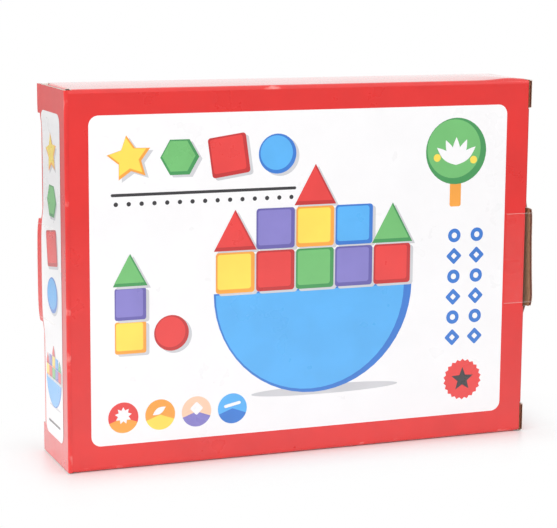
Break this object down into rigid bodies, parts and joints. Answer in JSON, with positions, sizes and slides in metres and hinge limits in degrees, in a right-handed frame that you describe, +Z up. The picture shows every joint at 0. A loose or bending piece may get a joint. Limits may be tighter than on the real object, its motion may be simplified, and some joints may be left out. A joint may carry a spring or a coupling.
{
  "type": "boxed balance game",
  "caption": "Wooden balance game in its closed corrugated tuck-end carton: a half-round rocker, painted cylinders to stack on it and a colour die, behind hinged end flaps with tuck tabs",
  "frame": {"origin": "middle of the carton's underside, as it stands on its long edge", "axes": "+X along the carton's length to the right of its printed front, +Y from the front to the back, +Z up"},
  "size_m": [0.2506, 0.0486, 0.188],
  "materials": {
    "printed_board": "corrugated board, semi-gloss red print outside, kraft inside",
    "kraft_board": "corrugated board, matte kraft",
    "clear_tape": "clear, glossy",
    "moon_blue": "satin paint",
    "paint_red": "satin paint",
    "paint_yellow": "satin paint",
    "paint_blue": "satin paint",
    "paint_green": "satin paint",
    "paint_purple": "satin paint",
    "natural_wood": "clear satin varnish"
  },
  "bodies": {
    "carton": {"front_panel": "printed_board", "back_panel": "printed_board", "top_wall": "printed_board", "bottom_wall": "printed_board", "glue_flap": "kraft_board", "colour_die": "natural_wood"},
    "left_end": {"left_end_flap": "printed_board", "left_tape_seal": "clear_tape"},
    "left_tabs": {"left_upper_tab": "kraft_board", "left_lower_tab": "kraft_board"},
    "left_top_dust": {"left_top_dust_flap": "kraft_board"},
    "left_bottom_dust": {"left_bottom_dust_flap": "kraft_board"},
    "right_end": {"right_end_flap": "printed_board", "right_tape_seal": "clear_tape"},
    "right_tabs": {"right_upper_tab": "kraft_board", "right_lower_tab": "kraft_board"},
    "right_top_dust": {"right_top_dust_flap": "kraft_board"},
    "right_bottom_dust": {"right_bottom_dust_flap": "kraft_board"},
    "moon": {"moon_rocker": "moon_blue", "large_red_cylinder_1": "paint_red", "large_green_cylinder": "paint_green", "large_yellow_cylinder": "paint_yellow", "large_red_cylinder_2": "paint_red", "large_purple_cylinder": "paint_purple", "large_red_cylinder_3": "paint_red", "large_blue_cylinder": "paint_blue", "medium_yellow_cylinder": "paint_yellow", "medium_red_cylinder": "paint_red", "medium_purple_cylinder": "paint_purple", "medium_blue_cylinder": "paint_blue", "small_purple_cylinder": "paint_purple", "small_red_cylinder_1": "paint_red", "small_green_cylinder": "paint_green", "small_blue_cylinder": "paint_blue", "small_yellow_cylinder": "paint_yellow", "small_red_cylinder_2": "paint_red"}
  },
  "joints": [
    {"name": "left_end_hinge", "type": "hinge", "parent": "carton", "child": "left_end", "pos_m": [-0.12423, -0.0232, 0.09398], "axis": [0, 0, 1], "range_deg": [0, 135]},
    {"name": "left_tab_crease", "type": "hinge", "parent": "left_end", "child": "left_tabs", "pos_m": [-0.12423, 0.0213, 0.09398], "axis": [0, 0, 1], "range_deg": [0, 40.5]},
    {"name": "left_top_dust_crease", "type": "hinge", "parent": "carton", "child": "left_top_dust", "pos_m": [-0.12233, 0, 0.18715], "axis": [0, -1, 0], "range_deg": [0, 60]},
    {"name": "left_bottom_dust_crease", "type": "hinge", "parent": "carton", "child": "left_bottom_dust", "pos_m": [-0.12233, 0, 0.0008], "axis": [0, 1, 0], "range_deg": [0, 60]},
    {"name": "right_end_hinge", "type": "hinge", "parent": "carton", "child": "right_end", "pos_m": [0.12423, 0.0232, 0.09398], "axis": [0, 0, 1], "range_deg": [0, 135]},
    {"name": "right_tab_crease", "type": "hinge", "parent": "right_end", "child": "right_tabs", "pos_m": [0.12423, -0.0213, 0.09398], "axis": [0, 0, 1], "range_deg": [0, 40.5]},
    {"name": "right_top_dust_crease", "type": "hinge", "parent": "carton", "child": "right_top_dust", "pos_m": [0.12233, 0, 0.18715], "axis": [0, 1, 0], "range_deg": [0, 60]},
    {"name": "right_bottom_dust_crease", "type": "hinge", "parent": "carton", "child": "right_bottom_dust", "pos_m": [0.12233, 0, 0.0008], "axis": [0, -1, 0], "range_deg": [0, 30]},
    {"name": "moon_rock", "type": "hinge", "parent": "carton", "child": "moon", "pos_m": [0, 0, 0.11489], "axis": [0, 1, 0], "range_deg": [-5, 5]}
  ],
  "couplings": [
    {"joint": "left_tab_crease", "follows": "left_end_hinge", "ratio": 0.3},
    {"joint": "right_tab_crease", "follows": "right_end_hinge", "ratio": 0.3}
  ]
}
